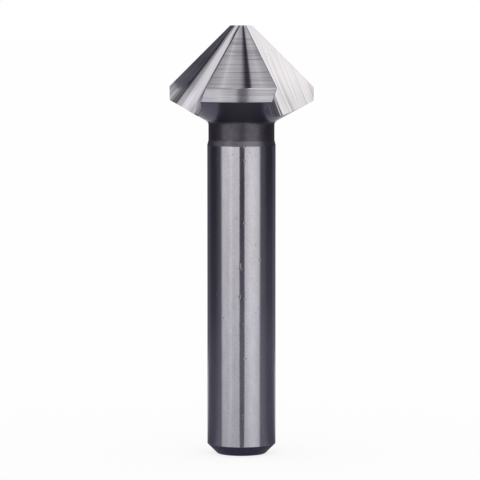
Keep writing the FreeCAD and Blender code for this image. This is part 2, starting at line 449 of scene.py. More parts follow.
def turned(points, angle):
    """Points turned about the axis."""
    c, s = cos(angle), sin(angle)
    return points @ np.array([[c, s, 0], [-s, c, 0], [0, 0, 1]])


def tooth_zones():
    """The zone of each face of a land and of a flute, row by row."""
    ground_rows = CONE_ROWS + CORNER_ROWS + MARGIN_ROWS + GROUND_BREAK_ROWS
    row = np.repeat(np.arange(len(table) - 1), LAND_COLUMNS)
    on_land = np.where(row < ground_rows, LAND_GROUND, UNGROUND)
    on_land[LAND_COLUMNS - 1::LAND_COLUMNS] = UNGROUND
    on_flute = np.full((len(table) - 1) * FLUTE_COLUMNS, FLUTE_GROUND)
    on_flute[FLUTE_COLUMNS - 1::FLUTE_COLUMNS] = UNGROUND
    return on_land, on_flute


def body_grid():
    """Points of the turned body: the ring that the lands close to, set to each row's radius."""
    ring = np.concatenate([turned(land[-1, :-1], k * THIRD) for k in range(TEETH)])
    ring = np.concatenate([ring, ring[:1]])
    heading = ring[:, :2] / np.linalg.norm(ring[:, :2], axis=1)[:, None]
    height, radius = rows[:, 0, None, None], rows[:, 1, None, None]
    level = np.broadcast_to(height, (len(rows), len(ring), 1))
    return np.concatenate([ring[None], np.concatenate([heading[None] * radius, level], axis=2)])


def gather():
    """Faces, the zone of each, points, and the lay of each, of all seven grids together."""
    on_land, on_flute = tooth_zones()
    body = body_grid()
    grids = []
    for k in range(TEETH):
        grids.append((turned(land, k * THIRD), on_land, np.zeros(land.shape[:2] + (2,))))
        grids.append((turned(flute, k * THIRD), on_flute, lay))
    grids.append((body, np.repeat(row_zone, body.shape[1] - 1), np.zeros(body.shape[:2] + (2,))))
    points, zones, lays = zip(*grids)
    firsts = np.cumsum([0] + [grid.size // 3 for grid in points])
    faces = [quads(*grid.shape[:2]) + first for grid, first in zip(points, firsts)]
    return (np.concatenate(faces), np.concatenate(zones),
            np.concatenate([grid.reshape(-1, 3) for grid in points]),
            np.concatenate([grid.reshape(-1, 2) for grid in lays]))


faces, zones, points, lays = gather()
print(f"{len(points)} points and {len(faces)} faces before the borders are merged")

# %% [markdown]
# The points that two grids share are merged, which sews the grids into one skin. The flat face of
# the tip and the one at the end of the shank close it.

# %% Sew one closed skin
# In metres: points closer than WELD are merged, and edges shorter than SLIVER are removed.
WELD, SLIVER = 2e-8, 1e-8
SHARP_ANGLE = radians(28)


def add_object(name, data):
    """A new object in the scene."""
    added = bpy.data.objects.new(name, data)
    bpy.context.collection.objects.link(added)
    return added


def sew(mesh):
    """Merges shared borders and closes both ends."""
    built = bmesh.new()
    built.from_mesh(mesh)
    bmesh.ops.remove_doubles(built, verts=built.verts, dist=WELD)
    bmesh.ops.dissolve_degenerate(built, edges=built.edges, dist=SLIVER)
    rims = [found for found in built.edges if found.is_boundary]
    tops = [found for found in rims if found.verts[0].co.z > TOP * MM / 2]
    ends = [found for found in rims if found.verts[0].co.z < TOP * MM / 2]
    for rim, zone in ((tops, LAND_GROUND), (ends, UNGROUND)):
        for face in bmesh.ops.contextual_create(built, geom=rim)["faces"]:
            face.material_index = zone
            face.smooth = False
    bmesh.ops.recalc_face_normals(built, faces=built.faces)
    print("open edges left:", sum(found.is_boundary for found in built.edges),
          "volume mm3:", round(built.calc_volume(signed=True) / MM ** 3, 1))
    built.to_mesh(mesh)
    built.free()


skin = bpy.data.meshes.new("countersink_skin")
skin.from_pydata(points * MM, [], faces)
skin.polygons.foreach_set("use_smooth", np.ones(len(faces), bool))
skin.polygons.foreach_set("material_index", zones.astype(np.int32))
skin.uv_layers.new(name="lay").data.foreach_set("uv", lays[faces.ravel()].astype(np.float32).ravel())
sew(skin)
skin.set_sharp_from_angle(angle=SHARP_ANGLE)
bit = add_object("countersink_bit_ground", skin)
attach(bit, "root")
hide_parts("countersink_bit")
triangles = sum(len(face.vertices) - 2 for face in skin.polygons)
print(f"{len(skin.vertices)} points, {triangles} triangles")

# %% [markdown]
# ## Shader sums as Python
#
# A steel finish is a handful of patterns added and multiplied. Written as nodes that is a page of
# lines; written as an expression it is one line. So one small class holds a node's output and adds
# a Math node for each operator used on it.

# %% Sockets that can be added and multiplied
class Flow:
    """One output socket of a node tree, usable in arithmetic."""

    def __init__(self, tree, socket=None):
        self.tree, self.socket = tree, socket

    def node(self, kind, settings=(), inputs=(), output=0):
        """Adds a node: its settings are set first, then the values or links of its sockets."""
        added = self.tree.nodes.new("ShaderNode" + kind)
        for name, value in dict(settings).items():
            setattr(added, name, value)
        for key, value in dict(inputs).items():
            if isinstance(value, Flow):
                self.tree.links.new(value.socket, added.inputs[key])
            else:
                added.inputs[key].default_value = value
        return Flow(self.tree, added.outputs[output] if added.outputs else None)

    def math(self, operation, *values):
        """One Math node on numbers or flows."""
        return self.node("Math", {"operation": operation}, enumerate(values))

    def __add__(self, other):
        return self.math("ADD", self, other)

    def __sub__(self, other):
        return self.math("SUBTRACT", self, other)

    def __rsub__(self, other):
        return self.math("SUBTRACT", other, self)

    def __mul__(self, other):
        return self.math("MULTIPLY", self, other)

    __radd__, __rmul__ = __add__, __mul__

    def step(self, low, high):
        """Smooth step: 0 below low, 1 above high, and an even curve between; low may be the higher."""
        if low > high:
            return 1 - self.step(high, low)
        return self.node(
            "MapRange", {"interpolation_type": "SMOOTHSTEP"},
            {"Value": self, "From Min": low, "From Max": high})

    def band(self, start, full, last=None, end=None):
        """1 from full to last, easing to 0 at start and at end; with no last, it stays 1."""
        rising = self.step(start, full)
        return rising if last is None else rising * self.step(end, last)

    def noise(self, scale=1.0, detail=2.0, roughness=0.5):
        """Noise about 0.5 at these coordinates."""
        return self.node(
            "TexNoise", {"noise_dimensions": "3D"},
            {"Vector": self, "Scale": scale, "Detail": detail, "Roughness": roughness})

    def parts(self):
        """The three parts of a vector."""
        added = self.node("SeparateXYZ", (), {0: self})
        return [Flow(self.tree, socket) for socket in added.socket.node.outputs]

    def vector(self, x, y, z):
        """A vector from three numbers or flows."""
        return self.node("CombineXYZ", (), {0: x, 1: y, 2: z})

    def mixed(self, low, high):
        """A colour between two, by this amount. Sockets 6, 7 and 2 are the node's colour sockets."""
        return self.node(
            "Mix", {"data_type": "RGBA"}, {0: self, 6: low, 7: high}, output=2)


# %% [markdown]
# A finish is a function that takes a place on the bit in millimetres and gives four things: colour,
# roughness, how metallic the face is, and a height in millimetres that a Bump node turns into tilt.
# The patterns read the place on the object itself, so they stay put from every side. The finishes
# are added to the skin in the order of the zones.

# %% From a finish to a material
def new_material(name):
    """An empty material and a flow to start its nodes from."""
    material = bpy.data.materials.new(name)
    material.use_nodes = True
    material.node_tree.nodes.clear()
    return material, Flow(material.node_tree)


def add_steel(name, finish):
    """Adds a steel finish to the skin; finish gives colour, roughness, metallic and height."""
    material, start = new_material(name)
    place = start.node("TexCoord", output="Object")
    place = place.node("VectorMath", {"operation": "SCALE"}, {0: place, "Scale": 1 / MM})
    color, roughness, metallic, height = finish(place)
    normal = start.node("Bump", (), {"Strength": 1.0, "Distance": MM, "Height": height})
    shader = start.node("BsdfPrincipled", (), {
        "Base Color": color, "Roughness": roughness, "Metallic": metallic, "Normal": normal})
    start.node("OutputMaterial", (), {"Surface": shader})
    skin.materials.append(material)
    print(f"{name}: {len(material.node_tree.nodes)} nodes")


def shade(color, amount):
    """A colour made darker, or lighter above 1."""
    return tuple(part * amount for part in color[:3]) + (1,)


# %% [markdown]
# ## The shank: satin ground
#
# The shank was ground round between two wheels. That leaves a clean grey surface with a very fine,
# almost directionless grain, a few tiny pits, and edges of reflections that are a little ragged.
# Three noises do it: a grain of a third of a millimetre that tilts the surface by a hair, a larger
# cloud that changes how blurred it is, and a sparse one for the pits. An image of ground steel could do
# the same, but it would need a seam and would show its pixels from close by. Towards the foot the
# steel's colour is painted a shade bluer: a painted reflection of the bluish dark that the lower shank
# mirrors.

# %% Finish of the shank
STEEL = (0.615, 0.585, 0.635, 1)
# Bluer steel for the foot: a painted reflection of the bluish dark it mirrors.
FOOT_STEEL_PAINTED_BLUE = (0.612, 0.603, 0.672, 1)
FOOT_EASES = (36.0, 12.0)
DULL, BRIGHT = 0.86, 1.12


def shank_finish(place):
    """The tone is a cloud and a grain about a half, less the pits; the height has the same parts.
    Towards the foot the colour is painted a shade bluer, a painted reflection.
    """
    x, y, z = place.parts()
    drawn = place.vector(x, y, z * 0.3)
    grain = place.noise(3.4, detail=3.0, roughness=0.65)
    cloud = drawn.noise(1.1)
    pit = place.noise(2.1, detail=0.0).step(0.78, 0.86)
    height = grain * 0.0026 + drawn.noise(0.9, detail=1.0) * 0.004 - pit * 0.01
    tone = 0.5 + (cloud - 0.5) * 0.9 + (grain - 0.5) * 1.1 - pit * 0.6
    upper = tone.mixed(shade(STEEL, DULL), shade(STEEL, BRIGHT))
    painted_blue_foot = tone.mixed(shade(FOOT_STEEL_PAINTED_BLUE, DULL), shade(FOOT_STEEL_PAINTED_BLUE, BRIGHT))
    color = z.step(*FOOT_EASES).mixed(upper, painted_blue_foot)
    return color, 0.07 + cloud * 0.05, 1.0, height


add_steel("ground_shank", shank_finish)

# %% [markdown]
# ## Lands, margin and tip: ground in rings
#
# Each tooth's cone and margin were ground while the bit turned, so the lines run round the bit. They
# are far apart enough to see one by one, some dark and some faint. They could be drawn as a list of
# rings, but a real wheel leaves them at random. So the pattern is noise on the height alone, with
# only a slow change round the bit so that a line fades in and out.

# %% Finish of the lands
LINE_SHADE, LAND_SHADE = 0.12, 1.09
MARGIN_TURN = 0.2


def ringed(place, along, round_the_bit):
    """Coordinates for a pattern of rings: fast along the axis, slow round the bit."""
    x, y, z = place.parts()
    return place.vector(x * round_the_bit, y * round_the_bit, z * along)


def land_finish(place):
    """The tone is near 1, less lines, deeper lines, a fine grain and pits; the margin is duller."""
    fine = ringed(place, 5.0, 0.10).noise(roughness=0.6)
    line = ringed(place, 4.2, 0.07).noise(detail=1.0).step(0.46, 0.37)
    deep = ringed(place, 2.7, 0.09).noise(detail=0.0).step(0.34, 0.26)
    pit = place.noise(2.2, detail=0.0).step(0.82, 0.87)
    tone = 0.93 - line * 0.20 - deep * 0.28 - (fine - 0.5) * 0.75 - pit * 0.6
    color = tone.mixed(shade(STEEL, LINE_SHADE), shade(STEEL, LAND_SHADE))
    on_margin = place.parts()[2].step(MARGIN_HIGH, MARGIN_HIGH - MARGIN_TURN)
    return color, 0.065 + on_margin * 0.11 + fine * 0.03, 1.0, fine * 0.0012 + line * 0.0005


add_steel("ground_lands", land_finish)

# %% [markdown]
# ## Flutes: ground along their length
#
# The wheel that cut a flute left long straight lines down it. They follow the lay that was worked
# out with the surface, so they bend with the floor and lean on the walls as real ones do.
#
# The rake face under each cutting edge is painted darker, a painted shade where the flute's own walls
# keep light from it, and that painted shade grows lighter towards the margin. Bands run down beside it
# and over the floor, some lighter and some darker: painted highlights and painted shade in place of
# streaks of reflection. At the mouth, the wheel left a few hard dark marks as it ran out of the steel;
# on the flutes on the left they are darker still, and that extra dark is painted shade.
#
# Each band is one row of a table. A painted mask would do it too, but a row can be read and moved.

# %% Bands of painted light and shade, and marks, of the flutes
# Bands across the flute: start, full, last, end. A stretch in depth: none, full. Then the strength.
# Gaps in the rake face's painted shade.
SHADE_GAPS = (
    ((5.66, 5.78, 5.86, 6.0), (3.0, 4.5), -0.45),
    ((5.84, 5.96, 6.14, 6.28), (8.0, 9.5), -0.5),
    ((4.9, 5.7, 5.8, 6.0), (3.0, 1.0), -0.6),
)
# Painted highlights (positive strength) and painted shade (negative) on the floor, in place of streaks
# of reflection.
FLOOR_PAINTED_BANDS = (
    ((4.0, 4.4), (8.5, 11.0), 0.3),
    ((2.8, 3.1, 3.6, 4.0), (10.8, 12.0), -0.18),
    ((2.7, 2.9, 3.15, 3.4), (6.0, 8.5), 0.4),
    ((5.75, 5.9, 6.05, 6.2), (8.0, 9.5), 0.4),
    ((2.4, 2.8, 3.6, 4.0), (3.0, 1.0), -0.6),
)
# Where the rake face's painted shade begins across the flute, and the depth where it fades.
RAKE_FACE = (5.25, 5.58)
RAKE_SHADE_FADES = (8.0, 9.8)
# Two bands of painted shade beside the rake face, and the depth where they begin.
NEAR_SHADE_BAND = (5.3, 5.42, 5.58, 5.7)
FAR_SHADE_BAND = (6.06, 6.26, 6.58, 6.75)
SHADE_BAND_DEPTH = (6.5, 9.0)
LOW_PART = (6.5, 11.5)
EXIT_BAND, EXIT_DEPTH = (0.45, 0.85, 2.5, 2.75), (10.6, 12.0)
EXIT_DARK = (1.35, 1.75)
# Across the flute, where the painted shade low down is strongest, near the heel.
HEEL_PAINTED_SHADE = (2.6, 1.4)
# Depth where the far band darkens the shaded tone with more painted shade.
FAR_BAND_SHADE_DEPTH = (3.5, 5.0)
# Depth over which the rake face's painted shade grows lighter.
SHADED_TONE_LIFTS = (5.0, 7.8)


def painted_bands(across, down, band_rows):
    """Sum of the rows: each is its band across times its step in depth times its strength."""
    return sum(across.band(*band) * down.step(*depth) * strength
               for band, depth, strength in band_rows)


def lined(across, down, fast, slow, layer):
    """Coordinates for lines down the flute: fast across, slow along; each layer is its own noise."""
    return across.vector(across * fast, down * slow, layer)


print(f"{len(SHADE_GAPS)} seams beside the rake face, {len(FLOOR_PAINTED_BANDS)} in the floor")

# %% Finish of the flutes
LINE_BLACK = (0.0, 0.0, 0.004, 1)
POLISHED = (0.69, 0.665, 0.68, 1)
# The colour of the painted shade on the rake face.
RAKE_SHADE_COLOR = (0.29, 0.285, 0.35, 1)
# A Mix node stops at 1. The polished tone goes above that, so it is scaled down and its colour up.
HEADROOM = 0.7


def flute_finish(place):
    """Polished steel with lines down its lay, mixed by one share with a darker colour of painted shade.

    The polished tone is 1 less the lines, the painted shade low down and the pits, plus the bands of
    painted light and shade, less the exit marks, which painted shade darkens further on the left. The
    shaded tone is 1 less the lines, the clouds and painted shade along the far band, times a level that
    grows with depth. The share of painted shade is the rake face less its gaps, plus two bands beside
    it.
    """
    across, down, _ = place.node("UVMap", {"uv_map": "lay"}).parts()
    # 1 on the flutes to the left, where the exit marks get extra painted shade.
    painted_shade_on_left = place.parts()[0].step(1, -1)
    fine = lined(across, down, 4.6, 0.07, 0.0).noise(detail=3.0, roughness=0.6)
    line = lined(across, down, 2.2, 0.05, 3.0).noise(detail=0.0).step(0.40, 0.30)
    thin = lined(across, down, 4.4, 0.07, 5.0).noise(detail=0.0).step(0.40, 0.28)
    broad = lined(across, down, 0.8, 0.03, 7.0).noise(detail=1.0)
    mark = lined(across, down, 6.5, 0.05, 9.0).noise(detail=1.0)
    pit = place.noise(2.3, detail=0.0).step(0.83, 0.88)
    low = down.step(*LOW_PART)
    near_shade_band, far_shade_band = across.band(*NEAR_SHADE_BAND), across.band(*FAR_SHADE_BAND)
    at_exit = across.band(*EXIT_BAND) * down.step(*EXIT_DEPTH)

    # Share of painted shade: the rake face, less its gaps, plus two bands beside it.
    rake = across.step(*RAKE_FACE) + painted_bands(across, down, SHADE_GAPS)
    painted_shade_share = (rake * (1 - down.step(*RAKE_SHADE_FADES) * 0.6)
                  + (near_shade_band + far_shade_band) * down.step(*SHADE_BAND_DEPTH) * 0.36)

    # Darker low in the flute and most of all near the heel: painted shade.
    streak = (1.0 - line * (0.10 + low * 0.14) - thin * (0.10 + low * 0.06)
              - low * (0.04 + across.step(*HEEL_PAINTED_SHADE) * 0.10)
              - (fine - 0.5) * 0.3 - (broad - 0.5) * (low * 0.4) - pit * 0.4)
    # The exit marks, darker on the left flutes by painted shade.
    exit_marks = at_exit * (across.step(*EXIT_DARK) * (0.2 + painted_shade_on_left * 0.7) - (mark - 0.40) * 3.6)
    polished_tone = streak - exit_marks + painted_bands(across, down, FLOOR_PAINTED_BANDS)
    polished = (polished_tone * HEADROOM).mixed(LINE_BLACK, shade(POLISHED, 1 / HEADROOM))

    # The painted shade's own tone, lighter with depth.
    shaded_tone = (1.0 - thin * 0.25 - (fine - 0.5) * 0.8 - (broad - 0.5) * 0.9
                  - far_shade_band * down.step(*FAR_BAND_SHADE_DEPTH) * 0.35)
    shaded_level = 0.44 + down.step(*SHADED_TONE_LIFTS) * 0.38
    shaded = (shaded_tone * shaded_level).mixed(LINE_BLACK, RAKE_SHADE_COLOR)

    height = fine * 0.003 + line * 0.004 + broad * 0.010 + mark * at_exit * 0.010
    return painted_shade_share.mixed(polished, shaded), 0.06 + fine * 0.05, 1.0, height


add_steel("ground_flutes", flute_finish)

# %% [markdown]
# ## Neck, back of the head and end chamfer: as turned and hardened
#
# These faces were turned and hardened and never ground, so they are darker and bluish. The steel there
# carries a thin dark skin, uneven in patches of a millimetre. It is the same recipe as the shank's,
# with darker colours and a coarser grain. The cone behind the head is the smoothest part: the neck
# shows in it with an edge that can still be made out, apart from a patch under the front tooth that is
# duller and painted darker, a painted shade on its reflection. The taper between neck and shank has a
# painted highlight across its middle, in front and behind.

# %% Finish of the unground faces
NECK_SKIN = ((0.102, 0.094, 0.112, 1), (0.150, 0.138, 0.165, 1))
# Lighter colours of the taper's painted highlight.
TAPER_PAINTED_HIGHLIGHT = ((0.155, 0.146, 0.166, 1), (0.19, 0.18, 0.2, 1))
BACK_SKIN = ((0.086, 0.079, 0.142, 1), (0.100, 0.093, 0.158, 1))
# Colour of the painted shade in the patch under the front tooth.
FRONT_PAINTED_SHADE = (0.070, 0.069, 0.088, 1)
# Heights where a face begins or ends, and where its patches lie from side to side.
BACK_EDGE = (NECK_HIGH - 0.1, NECK_HIGH + 0.5)
FOOT_EDGE = (END_CHAMFER + 0.3, END_CHAMFER)
TAPER_HIGH, TAPER_LOW = (NECK_LOW + 0.08, NECK_LOW - 0.08), (SHANK_HIGH - 0.3, SHANK_HIGH)
TAPER_MIDDLE, TAPER_HALF = 0.3, (3.2, 2.2)
PATCH_MIDDLE, PATCH_HALF, PATCH_FRONT = -0.1, (3.4, 2.6), (-3.6, -4.4)


def unground_finish(place):
    """Dark skin whose tone is patches and grain about a half, in one pair of colours for each face,
    with a patch of painted shade on the back cone and a painted highlight across the taper.
    """
    x, y, z = place.parts()
    patch = place.noise(0.9, detail=3.0, roughness=0.6)
    grain = place.noise(4.5, roughness=0.6)
    tone = 0.5 + (patch - 0.5) * 1.6 + (grain - 0.5) * 2.2
    back, foot = z.step(*BACK_EDGE), z.step(*FOOT_EDGE)
    # A duller patch in front, also painted darker: painted shade on its reflection.
    dull_and_painted_shade = x.math("ABSOLUTE", x - PATCH_MIDDLE).step(*PATCH_HALF) * y.step(*PATCH_FRONT) * back
    # A painted highlight across the middle of the taper, front and back.
    taper = (z.step(*TAPER_HIGH) * z.step(*TAPER_LOW)
             * x.math("ABSOLUTE", x - TAPER_MIDDLE).step(*TAPER_HALF))
    rough_skin = taper.mixed(tone.mixed(*NECK_SKIN), tone.mixed(*TAPER_PAINTED_HIGHLIGHT))
    smooth_skin = (dull_and_painted_shade * 0.9).mixed(tone.mixed(*BACK_SKIN), FRONT_PAINTED_SHADE)
    color = (back + foot).mixed(rough_skin, smooth_skin)
    roughness = 0.27 - back * 0.10 + dull_and_painted_shade * 0.25 + patch * 0.08
    return color, roughness, 0.9, grain * 0.005 + patch * 0.008


add_steel("unground_dark", unground_finish)

# %% [markdown]
# ## Light tent
#
# Steel shows what stands round it. Here that is a tent: a big soft panel on the left, another on
# the right, a narrow gap between them where the camera looks in, dark cloth at the sides, and the
# white floor behind. Lamps and cards could be set up one by one, but each edge would then need a
# card of its own. So the tent is one ball, cut off by the floor. How bright it is in each direction
# is worked out with numpy and kept as a colour on its points.
#
# Only reflections see the tent. The white world lights the floor, and the camera looks through.
#
# Directions are seen from a point high on the shank: azimuth 0 is at the camera and positive to the
# right, and the elevation is above that point, both in degrees. Near the gap, a direction is given
# by its side: how far it points to the right, as a share of its length. An edge is a pair of
# values, first where it is dark and then where it is bright.

# %% Soft edges and levels
def soft(low, high, value):
    """Smooth step: 0 at low, 1 at high, three times the square less twice the cube between."""
    t = np.clip((value - low) / (high - low), 0, 1)
    return t * t * (3 - 2 * t)


def between(amount, low, high):
    """The value an amount of the way from low to high."""
    return low + (high - low) * amount


def level_at(elevation, levels):
    """Brightness at an elevation: straight between pairs of an elevation and a brightness."""
    return np.interp(elevation, *np.transpose(levels))


def panel_glow(elevation, levels, shape, end, at_gap):
    """Level times shape, inside the panel's end and its edge at the gap; overhead it has no end."""
    return level_at(elevation, levels) * shape * np.maximum(end, soft(*OVERHEAD, elevation)) * at_gap


# By elevation: the gap closes slowly, the panels close overhead, and their crests fade out.
CLIMB, OVERHEAD, CREST_FADES = (0, 80), (50, 64), (25, 5)

# %% [markdown]
# The left panel makes the bright band left of the shank's middle, and it lights the lands from
# above. Each height on the shank mirrors another elevation, so its level is a table by elevation,
# where a plain lit card would give one level.

# %% Left panel
LEFT_LEVELS = (
    (-60, 0.54), (-31, 0.60), (-16, 0.64), (-11, 0.68), (-6, 0.70), (-4, 0.75), (-3, 0.80),
    (-1.8, 0.84), (10, 0.80), (14, 0.84), (20, 0.84), (26, 0.95), (39, 1.0), (52, 0.6), (62, 0.47),
    (68, 0.56), (72, 0.66), (74, 0.82), (76.5, 0.70), (81, 0.61), (86, 0.55),
)
CREST, CREST_AZIMUTH, CREST_WIDTH = 0.19, -35.3, 5.5
NEAR_LIFT, NEAR_LIFT_EDGE = 0.02, (-22, -8)
LEFT_END_LOW = (78, 63)
LEFT_END_HIGH, LEFT_END_SECOND, FIRST_PART = (122, 106), (98, 82), 0.62
LEFT_WIDENS = (8, 18)
# Where the edge at the gap lies, and how far from there it is dark and bright: level, then overhead.
LEFT_GAP_EDGE, LEFT_GAP_DARK, LEFT_GAP_BRIGHT = (-0.104, 0.008), (0.012, 0.067), (0.03, 0.058)
WIDE_EDGE = (-0.12, -0.66)
WIDE_FROM, WIDE_TO = (2, 6), (40, 30)


def left_panel(azimuth, outer, elevation, side):
    """Brightest at its crest, and wider above.

    The shape is a crest, a bell curve about its azimuth, that fades out above.
    """
    crest = 1 + CREST * np.exp(-((azimuth - CREST_AZIMUTH) / CREST_WIDTH) ** 2)
    crest = crest * (1 + NEAR_LIFT * soft(*NEAR_LIFT_EDGE, azimuth))
    shape = between(soft(*CREST_FADES, elevation), 1.0, crest)
    high = between(FIRST_PART, soft(*LEFT_END_SECOND, -azimuth), soft(*LEFT_END_HIGH, -azimuth))
    end = between(soft(*LEFT_WIDENS, elevation), soft(*LEFT_END_LOW, outer), high)
    climb = soft(*CLIMB, elevation)
    gap_edge = between(climb, *LEFT_GAP_EDGE)
    dark, bright = between(climb, *LEFT_GAP_DARK), between(climb, *LEFT_GAP_BRIGHT)
    crisp = soft(gap_edge + dark, gap_edge - bright, side)
    wide = soft(*WIDE_FROM, elevation) * soft(*WIDE_TO, elevation)
    at_gap = between(wide, crisp, soft(*WIDE_EDGE, side))
    return panel_glow(elevation, LEFT_LEVELS, shape, end, at_gap)


print("left panel: levels at", len(LEFT_LEVELS), "elevations")

# %% [markdown]
# The right panel is made in the same way. It is brighter above, and it makes the wide white flute.

# %% Right panel
RIGHT_LEVELS = (
    (-60, 0.715), (-31, 0.785), (-16, 0.85), (-11, 0.885), (-6, 0.90), (-3, 1.0), (-2.2, 0.98),
    (-1.2, 0.85), (-0.3, 0.72), (1, 0.76), (10, 0.95), (26, 1.2), (39, 1.3), (52, 0.7), (62, 0.48),
    (68, 0.56), (72, 0.66), (74, 0.74), (76.5, 0.68), (81, 0.60), (86, 0.55),
)
DIM_NEAR, DIM_NEAR_EDGE = 0.2, (30, 12)
DIM_FAR, DIM_FAR_EDGE = 0.14, (38, 58)
RIGHT_END_LOW, RIGHT_END_HIGH = (73, 57), (100, 66)
RIGHT_WIDENS = (12, 30)
RIGHT_GAP_EDGE, RIGHT_GAP_DARK, RIGHT_GAP_BRIGHT = (0.180, 0.139), (0.012, 0.03), 0.014


def right_panel(azimuth, outer, elevation, side):
    """A little brighter than the left one, and brightest in its middle: dimmed at both its sides."""
    shape = 1 - DIM_NEAR * soft(*DIM_NEAR_EDGE, azimuth) - DIM_FAR * soft(*DIM_FAR_EDGE, azimuth)
    shape = between(soft(*CREST_FADES, elevation), 1.0, shape)
    end = between(soft(*RIGHT_WIDENS, elevation),
                  soft(*RIGHT_END_LOW, outer), soft(*RIGHT_END_HIGH, azimuth))
    climb = soft(*CLIMB, elevation)
    gap_edge = between(climb, *RIGHT_GAP_EDGE)
    at_gap = soft(gap_edge - between(climb, *RIGHT_GAP_DARK), gap_edge + RIGHT_GAP_BRIGHT, side)
    return panel_glow(elevation, RIGHT_LEVELS, shape, end, at_gap)


print("right panel: levels at", len(RIGHT_LEVELS), "elevations")

# %% [markdown]
# Between the panels the shank mirrors the gap, as a narrow dark line down its middle. At its sides
# it mirrors dark cloth. Black would look cut out, so both are tables of dark greys.

# %% Dark cloth and gap
CLOTH_LEVELS = (
    (-60, 0.088), (-31, 0.098), (-16, 0.088), (-11, 0.060), (-6, 0.046), (-4, 0.038), (-3, 0.035),
    (3, 0.034), (14, 0.11),
)
FRONT_CLOTH, FRONT_CLOTH_EDGE = 0.08, (100, 70)
BACK_CLOTH, BACK_CLOTH_EDGE = 0.06, (118, 140)
RIGHT_CLOTH, RIGHT_CLOTH_EDGE = 0.018, (60, 90)
RIGHT_CLOTH_FROM, RIGHT_CLOTH_TO = (-25, -12), (-2.5, -6)
GAP_LEVELS = (
    (-60, 0.155), (-31, 0.14), (-16, 0.165), (-11, 0.145), (-6, 0.09), (-4, 0.10), (-3.2, 0.07),
    (-2.3, 0.015), (-1.6, 0.06), (-1.2, 0.17), (-0.3, 0.38), (2, 0.26), (5, 0.05), (40, 0.055),
    (90, 0.045),
)
GAP_MIDDLE, GAP_HALF = 0.04, 0.16
GAP_AROUND, GAP_ABOVE = 90, 60


def dark_cloth(azimuth, elevation, side):
    """Sides, a little lighter in front, behind and low on the right, and the gap."""
    around = np.abs(azimuth)
    low_right = soft(*RIGHT_CLOTH_FROM, elevation) * soft(*RIGHT_CLOTH_TO, elevation)
    cloth = (level_at(elevation, CLOTH_LEVELS)
             + FRONT_CLOTH * soft(*FRONT_CLOTH_EDGE, around)
             + BACK_CLOTH * soft(*BACK_CLOTH_EDGE, around)
             + RIGHT_CLOTH * soft(*RIGHT_CLOTH_EDGE, azimuth) * low_right)
    in_front = (around < GAP_AROUND) | (elevation > GAP_ABOVE)
    in_gap = (np.abs(side - GAP_MIDDLE) < GAP_HALF) & in_front
    return np.where(in_gap, level_at(elevation, GAP_LEVELS), cloth)


# %% [markdown]
# The parts are put together from the darkest up, and a few cards are laid over them.

# %% Brightness all round
# In millimetres: the ball's radius, its centre's height, and the height at which it is cut.
TENT_RADIUS, TENT_CENTRE, TENT_LIFT = 400.0, 40.0, 0.05
# The shank mirrors the panels' outer ends from its flanks: so far out, and so far forward.
FLANK_OUT, FLANK_FORWARD = 0.58 * SHANK, 0.81 * SHANK
NOT_HERE = 180
PANELS_MEET = 0.05
TOP_CARD, TOP_CARD_SIDE, TOP_CARD_FROM, TOP_CARD_TO = 0.95, (0.36, 0.24), (10, 22), (36, 28)
BACK_CARD, BACK_CARD_EDGE, BACK_CARD_TO = 0.95, (162, 172), (60, 40)
BACK_FLOOR, BACK_FLOOR_EDGE, BACK_FLOOR_FROM = 0.48, (140, 152), (-14, -24)
FOOT_SHADE, FOOT_SHADE_EDGE = 0.22, (8.5, 6.5)


def tent_glow(x, y, z, azimuth, elevation):
    """Brightness of each point of the tent: the panels, or the cloth where that is brighter.

    A card above the gap, a card and the floor behind, and the shade at the foot of the bit are laid
    over that, each with soft edges. The side is taken from the front of the shank, and its length
    leaves out any drop below the centre, so the gap keeps its width down to the floor.
    """
    side = x / np.sqrt(x * x + (y + SHANK) ** 2 + np.maximum(z - TENT_CENTRE, 0) ** 2)
    outer = np.degrees(np.arctan2(np.abs(x) - FLANK_OUT, -(y + FLANK_FORWARD)))
    left = left_panel(azimuth, np.where(x < 0, outer, NOT_HERE), elevation, side)
    right = right_panel(azimuth, np.where(x > 0, outer, NOT_HERE), elevation, side)
    panels = np.where(side < PANELS_MEET, left, right)
    glow = np.maximum(panels, dark_cloth(azimuth, elevation, side))
    around = np.abs(azimuth)
    above_gap = (soft(*TOP_CARD_SIDE, np.abs(side)) * soft(*TOP_CARD_FROM, elevation)
                 * soft(*TOP_CARD_TO, elevation) * (around < GAP_AROUND))
    glow = between(above_gap, glow, np.maximum(glow, TOP_CARD))
    back_card = soft(*BACK_CARD_EDGE, around) * soft(*BACK_CARD_TO, elevation)
    glow = between(back_card, glow, BACK_CARD)
    back_floor = soft(*BACK_FLOOR_EDGE, around) * soft(*BACK_FLOOR_FROM, elevation)
    glow = between(back_floor, glow, BACK_FLOOR)
    return between(soft(*FOOT_SHADE_EDGE, np.hypot(x, y)), glow, FOOT_SHADE)


# %% [markdown]
# The ball's points lie closer together straight below, where the floor is near the bit, and
# overhead. Dark parts of the tent are tinted blue, as daylight tints the shadows of a studio, and
# so, a little, is the outer part of the left panel at middle height.

# %% Light tent
AZIMUTHS = np.arange(-180, 181, 1.0)
ELEVATIONS = np.concatenate([
    np.arange(-89.5, -60, 0.5), np.arange(-60, 60, 1.25), np.arange(60, 90.1, 1.0)])
LEVEL_SLOPE = 1e-6
SHADOW_EDGE, SHADOW_TINT = (0.32, 0.03), (-0.03, -0.03, 0.24, 0)
COOL_TINT = (0, -0.012, 0.055, 0)
COOL_EDGE, COOL_FROM, COOL_TO = (-22, -34), (9, 15), (38, 31)


